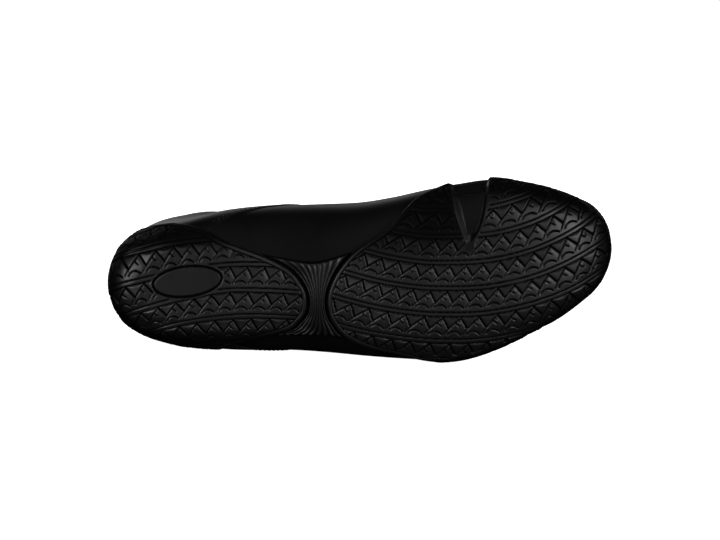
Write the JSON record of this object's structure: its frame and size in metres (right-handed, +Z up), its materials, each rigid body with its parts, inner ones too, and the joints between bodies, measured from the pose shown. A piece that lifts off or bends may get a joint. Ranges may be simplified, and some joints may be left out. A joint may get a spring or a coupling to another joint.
{
  "type": "boxing shoe",
  "caption": "Black lace-up boxing shoe of ankle height, with wrapped rubber tread pads under heel and forefoot joined by a ribbed waist; left shoe on its outer side.",
  "frame": {"origin": "centre of the box that holds the shoe as it lies, on the floor", "axes": "+X towards the toe, sole towards -Y, +Z up from the floor, with the shoe on its outer side"},
  "size_m": [0.283, 0.1592, 0.1064],
  "materials": {
    "sole_rubber": "satin",
    "upper_leather": "satin",
    "lining_cloth": "matte",
    "lace_cord": "matte"
  },
  "bodies": {
    "root": {"outsole_heel": "sole_rubber", "outsole_forefoot": "sole_rubber", "outsole_waist": "sole_rubber", "upper": "upper_leather", "insole": "lining_cloth", "tongue": "lining_cloth", "laces": "lace_cord"}
  },
  "joints": []
}
